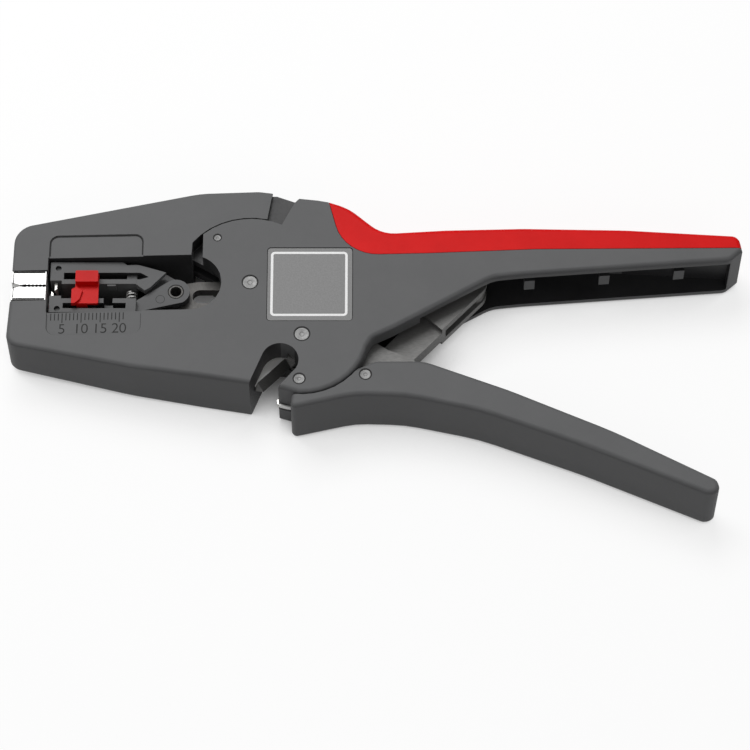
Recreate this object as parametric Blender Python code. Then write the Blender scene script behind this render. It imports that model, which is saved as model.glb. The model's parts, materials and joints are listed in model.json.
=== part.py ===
# Automatic wire stripper, lying flat on its side.
# Drawing frame: X runs from the nose (-X) to the handle ends (+X), Y runs up through the jaws,
# Z is the thickness. The drawing's zero is the axis of the jaw pivot pin.
import math

import bmesh
import bpy

MM = 0.001

# Overall sizes
THICKNESS = 19.0 * MM           # body, across both faces
NOSE_REACH = 63.4 * MM          # jaw pivot to nose face
HANDLE_REACH = 131.0 * MM       # jaw pivot to the end of the fixed handle
LEVER_REACH = 121.9 * MM        # jaw pivot to the tip of the moving handle
LEVER_DROP = 62.3 * MM          # jaw pivot down to the tip of the moving handle
TIP_HEIGHT = 4.4 * MM           # moving handle at its tip
NOSE_THINNING = 0.22            # share of the thickness that is gone at the nose face
THINNING_START = -12.0 * MM
FACE_EDGE = 1.3 * MM            # rounding between the faces and the outside walls

# Pins
PIVOT_RADIUS = 1.9 * MM
SMALL_PIN_RADIUS = 1.4 * MM
STOP_PIN_RADIUS = 0.9 * MM
RIVET_RADIUS = 0.8 * MM
RUNNING_FIT = 0.06 * MM         # radial, shaft in hole
PIN_INSET = 0.15 * MM           # pin ends below the faces
HANDLE_PIVOT = (13.9 * MM, -15.6 * MM)
BLADE_PIN = (13.3 * MM, -28.9 * MM)
LINK_PIVOT = (30.6 * MM, -27.4 * MM)
LINK_LENGTH = 41.4 * MM
LINK_ANGLE = 47.4               # degrees from +X, handles open
LINK_FOOT = 4.0 * MM
LINK_EYE = 4.3 * MM
FORK_DEPTH = 14.5 * MM
STOP_PIN_ORBIT = 16.25 * MM     # from the jaw pivot
STOP_PIN_ANGLE = 123.2
JAW_OPENING = 12.0              # degrees

# Layers, as half widths from the middle plane
SLOT_HALF = 4.6 * MM            # mechanism slot and handle channels
LEAF_OUTER = 4.2 * MM           # steel leaves: jaw legs, lever plates
LEG_INNER = 1.8 * MM
LEVER_INNER = 2.6 * MM
LINK_HALF = 2.3 * MM
ROD_HALF = 1.5 * MM
BLADE_HALF = 1.2 * MM
COUNTER_THICKNESS = 1.6 * MM
GAP = 0.3 * MM

# Nose and window
JAW_FACE_LENGTH = 9.5 * MM      # steel clamp jaws, along X
JAW_FACE_HEIGHT = 4.1 * MM
JAW_FACE_HALF = 7.5 * MM
JAW_PARTING = 0.2 * MM          # half the gap between the clamp jaws
TOOTH_PITCH = 1.0 * MM
TOOTH_DEPTH = 0.2 * MM
TONGUE_LENGTH = 4.6 * MM        # tongue that holds a clamp jaw in its moulding, along Y
TONGUE_WIDTH = 4.0 * MM
WINDOW_HALF = 8.2 * MM
WINDOW_END = -7.6 * MM          # rounded end of the window
PANEL_DEPTH = 0.5 * MM
PANEL_END = -28.6 * MM
PANEL_HEIGHT = 6.9 * MM
PARTING_ARC = 19.7 * MM         # upper jaw slides round the body on this radius
RECESS_DEPTH = 1.5 * MM         # pocket in the faces behind the upper jaw
WEB_ANGLE = 96.0                # body reaches this far round behind the jaw

# Knife carriage
ARM_HALF = 6.0 * MM             # knife arms, half width in the window
ARM_PIN_X = -19.9 * MM
ARM_PIN_RADIUS = 2.1 * MM
ARM_PIN_BORE = 1.5 * MM
ARM_BOSS = 3.7 * MM
TAIL_OUTER = 2.8 * MM           # upper arm's tail plates lie under the lower arm's
ARM_CLEARANCE = 0.6 * MM        # clamp jaws to the front of the arms
ARM_BACK = -30.3 * MM           # rear of the arms' full width
HOLDER_LENGTH = 3.1 * MM
KNIFE_THICKNESS = 0.6 * MM
KNIFE_HALF = 4.6 * MM
KNIFE_FIT = 0.1 * MM
KNIFE_REACH = 0.15 * MM         # side points of the knives, from the wire line
KNIFE_NOTCH = 1.5 * MM          # depth of the V between them
ROD_WIDTH = 9.0 * MM
ROD_NECK = 4.6 * MM             # top edge of the rod past the jaw pivot
ROD_SLOT = 13.6 * MM
SPRING_RADIUS = 2.7 * MM
SPRING_WIRE = 0.7 * MM
SPRING_TURNS = 9
SPRING_END = 37.0 * MM
ARM_SPRING_RADIUS = 1.45 * MM
ARM_SPRING_WIRE = 0.45 * MM
ARM_SPRING_TURNS = 4
ARM_SPRING_PLAY = 0.7 * MM      # below the upper arm, which comes down to it as the arms close

# Length stop
STOP_SETTING = 0.265            # share of its travel, from the front end
STOP_WIDTH = 6.2 * MM
STOP_PLAY = 0.5 * MM            # holder blocks to the front of the rail slots
STOP_LEG = 2.8 * MM             # leg and stop face, along X

# Handles
GRIP_SKIN = 1.9 * MM            # soft skin over the back of the fixed handle
GRIP_SIDE = 1.2 * MM            # the same skin on the handle's faces
SEAM_GAP = 0.12 * MM
SPINE = 2.0 * MM                # wall under the soft skin
CHANNEL_FLOOR = 1.5 * MM
END_WALL = 3.2 * MM
CHANNEL_HALF = 7.0 * MM         # inside of the fixed handle, half width
CHANNEL_START = 45.0 * MM
RIB = 2.8 * MM
HALF_RIB_END = 18.1 * MM        # handle end to the last half rib
HALF_RIB_PITCH = 20.0 * MM
HALF_RIB_START = 72.6 * MM      # no rib nearer the pivot, where the link swings
CROSS_RIB_END = 18.0 * MM       # lever tip to the last cross rib
CROSS_RIB_PITCH = 12.0 * MM
CROSS_RIB_START = 76.0 * MM     # no rib nearer the pivot, where the lever plates are
BOSS_ARC = 17.4 * MM            # body round the handle pivot
HUB_RADIUS = 4.6 * MM
BLADE_REACH = 16.8 * MM         # handle pivot to the far end of the cutter blade
HANDLE_CLEARANCE = 0.35 * MM
HANDLE_INSET = 0.4 * MM         # moving handle's faces below the body's

# Rating plate
PLATE_WIDTH = 22.5 * MM
PLATE_HEIGHT = 22.0 * MM
PLATE_CENTRE = (15.85 * MM, -0.6 * MM)
PLATE_THICKNESS = 0.6 * MM

MID = THICKNESS / 2
PIVOT = (0.0, 0.0)
ARC_STEP = math.radians(10)

COLOURS = {
    "moulding": ((0.115, 0.118, 0.122), 0.55, 0.0),
    "soft_red": ((0.62, 0.012, 0.012), 0.5, 0.0),
    "plate_grey": ((0.33, 0.34, 0.35), 0.4, 0.3),
    "steel": ((0.72, 0.72, 0.71), 0.25, 1.0),
    "dark_steel": ((0.16, 0.165, 0.17), 0.4, 0.6),
    "pin_steel": ((0.42, 0.42, 0.42), 0.35, 0.9),
    "spring_steel": ((0.3, 0.3, 0.31), 0.3, 1.0),
}


# Drawing tools

def mm(*values):
    return tuple(value * MM for value in values)


def polar(centre, radius, degrees):
    angle = math.radians(degrees)
    return (centre[0] + radius * math.cos(angle), centre[1] + radius * math.sin(angle))


def arc(centre, radius, start, end):
    """Points round a centre, angles in degrees, both ends included."""
    steps = max(2, math.ceil(abs(math.radians(end - start)) / ARC_STEP))
    return [polar(centre, radius, start + (end - start) * i / steps) for i in range(steps + 1)]


def rounded(corners, closed=True):
    """Outline through corners (x, y) or (x, y, fillet radius); an open one keeps its two ends."""
    outline = []
    count = len(corners)
    for i, corner in enumerate(corners):
        x, y = corner[0], corner[1]
        radius = corner[2] if len(corner) > 2 else 0.0
        if radius <= 0 or (not closed and i in (0, count - 1)):
            outline.append((x, y))
            continue
        before, after = corners[i - 1], corners[(i + 1) % count]
        ax, ay = before[0] - x, before[1] - y
        bx, by = after[0] - x, after[1] - y
        a_length, b_length = math.hypot(ax, ay), math.hypot(bx, by)
        a_dir = (ax / a_length, ay / a_length)
        b_dir = (bx / b_length, by / b_length)
        cosine = max(-0.9999, min(0.9999, a_dir[0] * b_dir[0] + a_dir[1] * b_dir[1]))
        half = math.acos(cosine) / 2
        reach = min(radius / math.tan(half), 0.48 * a_length, 0.48 * b_length)
        radius = reach * math.tan(half)
        bisector = (a_dir[0] + b_dir[0], a_dir[1] + b_dir[1])
        length = math.hypot(*bisector)
        to_centre = radius / math.sin(half)
        centre = (x + bisector[0] / length * to_centre, y + bisector[1] / length * to_centre)
        first = math.atan2(y + a_dir[1] * reach - centre[1], x + a_dir[0] * reach - centre[0])
        last = math.atan2(y + b_dir[1] * reach - centre[1], x + b_dir[0] * reach - centre[0])
        turn = (last - first + math.pi) % (2 * math.pi) - math.pi
        steps = max(2, math.ceil(abs(turn) / ARC_STEP))
        for step in range(steps + 1):
            angle = first + turn * step / steps
            outline.append((centre[0] + radius * math.cos(angle), centre[1] + radius * math.sin(angle)))
    return outline


def offset(path, distance):
    """Open path moved to its left by distance."""
    moved = []
    for i, (x, y) in enumerate(path):
        before, after = path[max(i - 1, 0)], path[min(i + 1, len(path) - 1)]
        dx, dy = after[0] - before[0], after[1] - before[1]
        length = math.hypot(dx, dy)
        moved.append((x - dy / length * distance, y + dx / length * distance))
    return moved


def along(start, end, share, aside):
    """Point a share of the way from start to end, moved aside to the left of that line."""
    dx, dy = end[0] - start[0], end[1] - start[1]
    length = math.hypot(dx, dy)
    return (start[0] + dx * share - dy / length * aside, start[1] + dy * share + dx / length * aside)


def crossings(one, two):
    """Points where two open paths cross, from the start of the first."""
    found = []
    for (ax, ay), (bx, by) in zip(one, one[1:]):
        for (cx, cy), (dx, dy) in zip(two, two[1:]):
            slant = (bx - ax) * (dy - cy) - (by - ay) * (dx - cx)
            if slant == 0:
                continue
            t = ((cx - ax) * (dy - cy) - (cy - ay) * (dx - cx)) / slant
            u = ((cx - ax) * (by - ay) - (cy - ay) * (bx - ax)) / slant
            if 0 <= t < 1 and 0 <= u < 1:
                found.append((ax + (bx - ax) * t, ay + (by - ay) * t))
    return found


def rib_places(last, pitch, first):
    """X of equal ribs, counted back from the last one while they stay beyond the first place."""
    return [last - pitch * i for i in range(int((last - first) / pitch) + 1)]


def height_at(path, x):
    """Y of an open path at x; the path runs towards +X."""
    for (x0, y0), (x1, y1) in zip(path, path[1:]):
        if x0 <= x <= x1:
            return y0 + (y1 - y0) * (x - x0) / (x1 - x0)
    return path[-1][1]


def between(path, low, high):
    """Stretch of a path between two X values, cut square at both."""
    inside = [point for point in path if low < point[0] < high]
    return [(low, height_at(path, low))] + inside + [(high, height_at(path, high))]


def circle(centre, radius, sides=32):
    return [polar(centre, radius, 360 * i / sides) for i in range(sides)]


def stadium(start, end, radius):
    """Round-ended bar or slot from start to end."""
    heading = math.degrees(math.atan2(end[1] - start[1], end[0] - start[0]))
    return arc(start, radius, heading + 90, heading + 270) + arc(end, radius, heading - 90, heading + 90)


def rim_run(outline, start, end):
    """Middles of the outline's edges, from the point nearest start on to the point nearest end."""
    count = len(outline)
    first = min(range(count), key=lambda i: math.dist(outline[i], start))
    last = min(range(count), key=lambda i: math.dist(outline[i], end))
    middles = []
    for step in range((last - first) % count):
        a, b = outline[(first + step) % count], outline[(first + step + 1) % count]
        middles.append(((a[0] + b[0]) / 2, (a[1] + b[1]) / 2))
    return middles


def box_outline(x0, y0, x1, y1, radius=0.0):
    return rounded([(x0, y0, radius), (x1, y0, radius), (x1, y1, radius), (x0, y1, radius)])


# Solids

def material(name):
    made = bpy.data.materials.get(name)
    if made:
        return made
    colour, roughness, metallic = COLOURS[name]
    made = bpy.data.materials.new(name)
    made.use_nodes = True
    shader = made.node_tree.nodes["Principled BSDF"]
    shader.inputs["Base Color"].default_value = (*colour, 1.0)
    shader.inputs["Roughness"].default_value = roughness
    shader.inputs["Metallic"].default_value = metallic
    return made


def new_object(name, bm, finish=None):
    bmesh.ops.recalc_face_normals(bm, faces=bm.faces)
    mesh = bpy.data.meshes.new(name)
    bm.to_mesh(mesh)
    bm.free()
    made = bpy.data.objects.new(name, mesh)
    bpy.context.collection.objects.link(made)
    made.parent = TOOL
    if finish:
        mesh.materials.append(material(finish))
    return made


def slab(name, outline, low, high, finish=None, soft_runs=(), radius=0.0, segments=3):
    """Outline extruded from z = low to z = high. Along each soft run, given as two corners of a
    counter-clockwise outline, the two rims are rounded."""
    points = []
    for point in outline:
        if not points or math.dist(point, points[-1]) > 1e-6:
            points.append(point)
    if math.dist(points[0], points[-1]) < 1e-6:
        points.pop()
    bm = bmesh.new()
    face = bm.faces.new([bm.verts.new((x, y, low)) for x, y in points])
    grown = bmesh.ops.extrude_face_region(bm, geom=[face])
    lifted = [item for item in grown["geom"] if isinstance(item, bmesh.types.BMVert)]
    bmesh.ops.translate(bm, verts=lifted, vec=(0, 0, high - low))
    bmesh.ops.recalc_face_normals(bm, faces=bm.faces)
    middles = [middle for run in soft_runs for middle in rim_run(points, *run)]
    rim = []
    for edge in bm.edges:
        a, b = edge.verts[0].co, edge.verts[1].co
        middle = ((a + b) / 2).xy
        if abs(a.z - b.z) < 1e-7 and any(math.dist(middle, place) < 1e-6 for place in middles):
            rim.append(edge)
    if rim:
        bmesh.ops.bevel(bm, geom=rim, offset=radius, segments=segments, profile=0.5, affect="EDGES")
    return new_object(name, bm, finish)


def leaf(name, outline, inner, outer, side, finish=None):
    """A plate on one side of the middle plane: side is +1 for the near face, -1 for the far one."""
    ends = sorted((MID + side * inner, MID + side * outer))
    return slab(name, outline, ends[0], ends[1], finish)


def cutter(target, shape, operation="DIFFERENCE"):
    """Adds shape to target as a live Boolean and hides it."""
    shape.hide_render = True
    shape.display_type = "WIRE"
    step = target.modifiers.new(shape.name, "BOOLEAN")
    step.operation = operation
    step.solver = "EXACT"
    step.object = shape


def cut(target, label, outline, low, high):
    cutter(target, slab("cut_" + label, outline, low, high))


def join(target, label, outline, low, high):
    cutter(target, slab("add_" + label, outline, low, high), "UNION")


def drill(target, label, centre, radius):
    cut(target, label, circle(centre, radius), -MM, THICKNESS + MM)


def settle(target):
    """Turns a piece's live Booleans into its own mesh, so that its faces can be worked on."""
    graph = bpy.context.evaluated_depsgraph_get()
    mesh = bpy.data.meshes.new_from_object(target.evaluated_get(graph))
    target.modifiers.clear()
    target.data = mesh


def thin_nose(target):
    """Draws both faces of the nose towards the middle plane, from the window's end to the tip."""
    settle(target)
    bm = bmesh.new()
    bm.from_mesh(target.data)
    everything = list(bm.verts) + list(bm.edges) + list(bm.faces)
    bmesh.ops.bisect_plane(bm, geom=everything, dist=1e-7, plane_co=(THINNING_START, 0, 0),
                           plane_no=(1, 0, 0))
    skin = SLOT_HALF + MM
    for vert in bm.verts:
        height = vert.co.z - MID
        if vert.co.x < THINNING_START and abs(height) > skin:
            share = (THINNING_START - vert.co.x) / (THINNING_START + NOSE_REACH)
            vert.co.z = MID + height * (1 - NOSE_THINNING * share)
    bmesh.ops.remove_doubles(bm, verts=bm.verts, dist=1e-6)
    bm.to_mesh(target.data)
    bm.free()


def smooth(target, degrees=30):
    target.data.shade_smooth()
    target.data.set_sharp_from_angle(angle=math.radians(degrees))


def turned_pin(name, centre, radius, low, high, bore=0.0, sides=32):
    """Cylinder along Z with a small chamfer, or a sleeve where bore is given."""
    chamfer = 0.2 * MM
    profile = [(radius - chamfer, low), (radius, low + chamfer), (radius, high - chamfer),
               (radius - chamfer, high)]
    if bore > 0:
        profile += [(bore, high), (bore, low)]
    bm = bmesh.new()
    rings = [[bm.verts.new((*polar(centre, r, 360 * i / sides), z)) for i in range(sides)]
             for r, z in profile]
    pairs = list(zip(rings, rings[1:]))
    if bore > 0:
        pairs.append((rings[-1], rings[0]))
    for lower, upper in pairs:
        for i in range(sides):
            j = (i + 1) % sides
            bm.faces.new((lower[i], lower[j], upper[j], upper[i]))
    if bore <= 0:
        bm.faces.new(rings[0])
        bm.faces.new(rings[-1])
    made = new_object(name, bm, "pin_steel")
    smooth(made)
    return made


def coil_spring(name, start, axis, length, radius, wire, turns):
    """Helix swept by a round wire, with closed end turns. axis is "X" or "Y"."""
    sides, per_turn, closed_turns = 6, 12, 0.5
    bm = bmesh.new()
    steps = turns * per_turn
    free = length - wire
    rings = []
    for i in range(steps + 1):
        turn = turns * i / steps
        angle = 2 * math.pi * turn
        rise = (turn - closed_turns) / (turns - 2 * closed_turns)
        along = wire / 2 + free * min(1.0, max(0.0, rise))
        ring = []
        for k in range(sides):
            tilt = 2 * math.pi * k / sides
            r = radius - wire / 2 + wire / 2 * math.cos(tilt)
            run = along + wire / 2 * math.sin(tilt)
            u, v = r * math.cos(angle), r * math.sin(angle)
            step = (run, u, v) if axis == "X" else (v, run, u)
            ring.append(bm.verts.new([start[n] + step[n] for n in range(3)]))
        rings.append(ring)
    for one, two in zip(rings, rings[1:]):
        for k in range(sides):
            n = (k + 1) % sides
            bm.faces.new((one[k], one[n], two[n], two[k]))
    bm.faces.new(rings[0])
    bm.faces.new(rings[-1])
    made = new_object(name, bm, "spring_steel")
    smooth(made, 50)
    return made


def pivot(name, place):
    """Empty on a joint's axis, which carries the pieces of one moving body."""
    made = bpy.data.objects.new(name, None)
    made.empty_display_size = 5 * MM
    bpy.context.collection.objects.link(made)
    made.parent = TOOL
    made.location = (place[0], place[1], MID)
    return made


def carry(holder, *pieces):
    for piece in pieces:
        piece.parent = holder
        piece.location = -holder.location


# Shared places and outlines

LINK_HEAD = polar(LINK_PIVOT, LINK_LENGTH, LINK_ANGLE)
STOP_PIN = polar(PIVOT, STOP_PIN_ORBIT, STOP_PIN_ANGLE)
FRONT = -NOSE_REACH
BLOCK_END = FRONT + JAW_FACE_LENGTH
ARM_FRONT = BLOCK_END + ARM_CLEARANCE
RAIL_START = ARM_FRONT + HOLDER_LENGTH + STOP_PLAY   # front of the rail slots
RAIL_END = ARM_BACK - 2.7 * MM
LEG_START = RAIL_START + STOP_SETTING * (RAIL_END - RAIL_START - STOP_LEG)
STOP_START = LEG_START - 0.4 * MM
SEAT = JAW_PARTING + JAW_FACE_HEIGHT + GAP      # mouldings start this far from the parting line
RIM = PARTING_ARC - GAP                         # body's edge under the upper jaw
CHANNEL_END = HANDLE_REACH - END_WALL
COUNTER_TOP = MID - BLADE_HALF - GAP
HANDLE_CORNER = (HANDLE_REACH, 9.8 * MM)

# Back of the fixed handle, from the step behind the upper jaw to the handle end
BACK = rounded([mm(12.7, 26.2), mm(20.6, 25.3, 20), mm(26.4, 22.8, 12), mm(35.0, 15.2, 9), mm(52.0, 16.3, 60),
                mm(73.0, 16.8, 60), (HANDLE_REACH - 31.0 * MM, 16.3 * MM, 80 * MM),
                (HANDLE_REACH - 0.8 * MM, 14.4 * MM, 2.5 * MM), HANDLE_CORNER], closed=False)
# Seam between the moulding and the red skin, from above the back to beyond the handle end
SEAM = rounded([mm(20.1, 26.9), mm(24.9, 8.2, 15.5), mm(47.0, 8.75, 40), mm(76.0, 10.0, 60),
                (HANDLE_REACH + MM, 10.4 * MM)], closed=False)
# Lower edge of the fixed handle's walls, from the boss to the handle end
UNDERSIDE = rounded([polar(HANDLE_PIVOT, BOSS_ARC, -12), mm(32.5, -16.5, 3), mm(38.0, -13.7, 6),
                     mm(64.4, 1.6, 10), mm(73.0, 2.55, 20),
                     (HANDLE_REACH - 3.4 * MM, 6.8 * MM, 3 * MM), HANDLE_CORNER], closed=False)
# Edges of the moving handle: the outer one from its front to its tip, then the inner one
LEVER_EDGE = BOSS_ARC + HANDLE_CLEARANCE        # front of the moving handle, round its pivot
LEVER_TIP = (LEVER_REACH - 2.7 * MM, -LEVER_DROP)
TIP_TOP = (LEVER_REACH - 0.6 * MM, -LEVER_DROP + TIP_HEIGHT)
OUTER_KNEE, INNER_KNEE = mm(60.5, -37.9), mm(46.0, -23.2)
LEVER_BOTTOM = rounded([mm(10.9, -37.25), mm(28.0, -33.25, 25), mm(41.0, -33.6, 40), (*OUTER_KNEE, 60 * MM),
                        (*along(OUTER_KNEE, LEVER_TIP, 0.464, 0.72 * MM), 150 * MM), LEVER_TIP], closed=False)
LEVER_TOP = rounded([polar(HANDLE_PIVOT, LEVER_EDGE, -33), mm(33.4, -23.2, 2), (*INNER_KNEE, 12 * MM),
                     (*along(INNER_KNEE, TIP_TOP, 0.284, 1.49 * MM), 90 * MM),
                     (*along(INNER_KNEE, TIP_TOP, 0.641, 1.8 * MM), 120 * MM), TIP_TOP], closed=False)


NOTCH_CORNER = mm(0.2, -30.2)
NOTCH_CENTRE = mm(8.2, -23.3)
NOTCH_RADIUS = 4.9 * MM
BOSS_CORNER = mm(7.8, -31.3)
NOSE_CORNER = (FRONT - 0.3 * MM, -SEAT)
WEB_CORNER = polar(PIVOT, 27.4 * MM, WEB_ANGLE)


def body_outline():
    front = [NOSE_CORNER, (FRONT - 0.9 * MM, -17.2 * MM, 3.5 * MM), mm(-31.6, -24.8, 90), NOTCH_CORNER]
    notch = arc(NOTCH_CENTRE, NOTCH_RADIUS, 158, -30)
    boss = [BOSS_CORNER] + arc(HANDLE_PIVOT, BOSS_ARC, -92, -16)
    web = [polar(PIVOT, 27.9 * MM, 65), polar(PIVOT, 28.0 * MM, 76), WEB_CORNER]
    cheek_x = -12.7 * MM
    window_centre = (WINDOW_END - WINDOW_HALF, 0)
    rim_end = math.degrees(math.acos(cheek_x / RIM))
    window_start = math.degrees(math.acos((cheek_x - window_centre[0]) / WINDOW_HALF))
    rim = arc(PIVOT, RIM, WEB_ANGLE, rim_end)
    window = arc(window_centre, WINDOW_HALF, window_start, -90)
    block = [(BLOCK_END, -WINDOW_HALF), (BLOCK_END, -SEAT)]
    return rounded(front + notch + boss + UNDERSIDE + BACK[::-1] + web + rim + window + block)


def slot_outline():
    """Mechanism slot: from the window, round the pivots and down the fixed handle."""
    hub = arc(HANDLE_PIVOT, HUB_RADIUS + 0.4 * MM, 150, 285)
    start = [mm(-17.0, -5.6), mm(-9.0, -6.0), mm(-1.0, -8.2), mm(6.5, -11.3)]
    end = CHANNEL_START + MM
    below = [mm(26.3, -31.5), mm(38.0, -40.0), (end, -40.0 * MM)]
    roof = between(offset(BACK, -(GRIP_SKIN + GAP + SPINE)), 40.0 * MM, end)
    above = [mm(36.0, 10.6), mm(26.0, 14.4), mm(13.0, 15.4)]
    swing = arc(PIVOT, RIM, 61, WEB_ANGLE + 1)
    out = [polar(PIVOT, 24.0 * MM, WEB_ANGLE + 1), polar(PIVOT, 24.0 * MM, 140), mm(-20.0, 6.0)]
    return start + hub + below + roof[::-1] + above + swing + out


def channel_outline():
    """Hollow of the fixed handle, open below."""
    roof = between(offset(BACK, -(GRIP_SKIN + GAP + SPINE + 0.2 * MM))[:-3], CHANNEL_START, CHANNEL_END)
    return [(CHANNEL_START, -40.0 * MM), (CHANNEL_END, -40.0 * MM)] + roof[::-1]


def ramp_outline():
    """Pocket in both faces behind the upper jaw, with its end wall on the slant."""
    inner = arc(PIVOT, RIM, WEB_ANGLE + 2, 65)
    return inner + [mm(12.2, 25.6), mm(13.2, 28.5), mm(0.0, 33.0), polar(PIVOT, 32.0 * MM, WEB_ANGLE + 2)]


def plate_outline(margin, corner):
    x, y = PLATE_CENTRE
    half_x, half_y = PLATE_WIDTH / 2 + margin, PLATE_HEIGHT / 2 + margin
    return box_outline(x - half_x, y - half_y, x + half_x, y + half_y, corner)


def grip_core(skin):
    """What the red skin wraps, seen from the side."""
    inner = between(offset(BACK, -skin)[:-3], 20.8 * MM, HANDLE_REACH - skin)
    return inner + [(HANDLE_REACH - skin, -10.0 * MM), mm(10.0, -10.0), (10.0 * MM, inner[0][1])]


def counter_outline(margin):
    """Fixed shear plate by the notch; it stands out of the boss into the notch."""
    x, y = BLADE_PIN
    corners = [(-1.7, 5.9), (-2.8, 1.9), (-6.1, -0.7), (-5.9, -1.9), (-2.1, -3.1), (2.6, -2.2), (2.6, 3.4)]
    loop = []
    for dx, dy in corners:
        length = math.hypot(dx, dy) * MM
        grow = (length + margin) / length
        loop.append((x + dx * MM * grow, y + dy * MM * grow))
    return loop


def blade_pocket():
    """Sector of the nose block that the cutter blade rests in and sweeps out of."""
    sweep = arc(HANDLE_PIVOT, BLADE_REACH + GAP, 174, 248)
    return sweep + [polar(HANDLE_PIVOT, 7.5 * MM, 262), polar(HANDLE_PIVOT, 3.0 * MM, 262),
                    polar(HANDLE_PIVOT, 3.0 * MM, 174)]


def tongue(sign, margin):
    """Tongue of a clamp jaw, or its pocket with a margin: sign +1 up, -1 down."""
    middle = FRONT + JAW_FACE_LENGTH / 2
    half = TONGUE_WIDTH / 2 + margin
    near, far = (SEAT - MM), (SEAT + TONGUE_LENGTH + margin)
    return box_outline(middle - half, min(sign * near, sign * far), middle + half, max(sign * near, sign * far))


# Fixed pieces

def make_body():
    soft_runs = [(NOSE_CORNER, NOTCH_CORNER), (BOSS_CORNER, WEB_CORNER)]
    body = slab("main_body", body_outline(), 0, THICKNESS, "moulding", soft_runs, FACE_EDGE)
    cut(body, "mechanism_slot", slot_outline(), MID - SLOT_HALF, MID + SLOT_HALF)
    cut(body, "handle_channel", channel_outline(), MID - CHANNEL_HALF, MID + CHANNEL_HALF)
    cut(body, "near_recess", ramp_outline(), THICKNESS - RECESS_DEPTH, THICKNESS + MM)
    cut(body, "far_recess", ramp_outline(), -MM, RECESS_DEPTH)
    cut(body, "plate_seat", plate_outline(0.15 * MM, MM), THICKNESS - PLATE_THICKNESS - GAP, THICKNESS + MM)
    cut(body, "scale_panel", box_outline(BLOCK_END + 0.2 * MM, -WINDOW_HALF - PANEL_HEIGHT,
                                         PANEL_END, -WINDOW_HALF + 3 * MM, 2.4 * MM),
        THICKNESS - PANEL_DEPTH, THICKNESS + MM)
    cut(body, "blade_pocket", blade_pocket(), MID - BLADE_HALF - GAP, MID + BLADE_HALF + GAP)
    cut(body, "counter_slot", counter_outline(GAP), COUNTER_TOP - COUNTER_THICKNESS - GAP, COUNTER_TOP + GAP)
    cut(body, "lower_tongue", tongue(-1, GAP), MID - SLOT_HALF, MID + SLOT_HALF)
    outside = [(SEAM[-1][0], 30 * MM), (SEAM[0][0], 30 * MM)]
    seat = slab("cut_skin_seat", SEAM + outside, -MM, THICKNESS + MM)
    side = GRIP_SIDE + GAP
    cut(seat, "skin_seat_core", grip_core(GRIP_SKIN + GAP), side, THICKNESS - side)
    cutter(body, seat)
    holes = {"jaw_pivot": (PIVOT, PIVOT_RADIUS), "handle_pivot": (HANDLE_PIVOT, PIVOT_RADIUS),
             "blade_pin": (BLADE_PIN, SMALL_PIN_RADIUS), "stop_pin": (STOP_PIN, STOP_PIN_RADIUS)}
    for label, (centre, radius) in holes.items():
        drill(body, label, centre, radius + RUNNING_FIT)
    seat_floor = ROD_NECK + 0.6 * MM
    join(body, "spring_seat", box_outline(SPRING_END, seat_floor, SPRING_END + RIB, 12.0 * MM),
         MID - SLOT_HALF - MM, MID + SLOT_HALF + MM)
    places = rib_places(HANDLE_REACH - HALF_RIB_END, HALF_RIB_PITCH, HALF_RIB_START)
    for number, x in enumerate(places, 1):
        floor = between(UNDERSIDE, x, x + RIB)
        roof = between(BACK, x, x + RIB)
        web = [(px, py + 0.4 * MM) for px, py in floor] + [(px, py - 3.4 * MM) for px, py in roof[::-1]]
        join(body, "half_rib_%d" % number, web, MID, MID + SLOT_HALF)
        left, right = x + GAP, x + RIB - GAP
        gusset = [(left, floor[0][1] + 2.6 * MM), (right, floor[0][1] + 2.6 * MM),
                  (right, roof[0][1] - 3.6 * MM), (left, roof[0][1] - 3.6 * MM)]
        join(body, "rib_gusset_%d" % number, gusset, MID + SLOT_HALF - MM, MID + CHANNEL_HALF + 0.5 * MM)
    thin_nose(body)
    smooth(body)
    return body


def make_grip():
    seam = offset(SEAM, SEAM_GAP)
    first, last = crossings(seam, BACK)
    lower = [first] + [point for point in seam if first[0] < point[0] < last[0]] + [last]
    upper = [point for point in BACK if point[0] > first[0] and point[1] > last[1]]
    grip = slab("grip_inlay", lower + upper[::-1], 0, THICKNESS, "soft_red", [(last, first)], FACE_EDGE)
    cut(grip, "grip_core", grip_core(GRIP_SKIN), GRIP_SIDE, THICKNESS - GRIP_SIDE)
    smooth(grip)
    return grip


def make_plate():
    low = THICKNESS - PLATE_THICKNESS - 0.1 * MM
    return slab("rating_plate", plate_outline(0, 0.9 * MM), low, low + PLATE_THICKNESS, "plate_grey")


def clamp_outline(sign):
    """Steel clamp jaw from the side, with fine teeth and a lead-in at the nose."""
    lead = 2.3 * MM
    teeth = []
    count = int((JAW_FACE_LENGTH - GAP - lead) / TOOTH_PITCH)
    first = BLOCK_END - GAP
    for i in range(count):
        teeth.append((first - i * TOOTH_PITCH, JAW_PARTING))
        teeth.append((first - (i + 0.5) * TOOTH_PITCH, JAW_PARTING + TOOTH_DEPTH))
    nose = [(FRONT + lead, JAW_PARTING), (FRONT, JAW_PARTING + 0.8 * MM)]
    top = JAW_PARTING + JAW_FACE_HEIGHT
    middle = FRONT + JAW_FACE_LENGTH / 2
    half = TONGUE_WIDTH / 2
    shank = [(FRONT, top), (middle - half, top), (middle - half, top + TONGUE_LENGTH),
             (middle + half, top + TONGUE_LENGTH), (middle + half, top), (first, top)]
    loop = teeth + nose + shank
    return [(x, sign * y) for x, y in loop]


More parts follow.
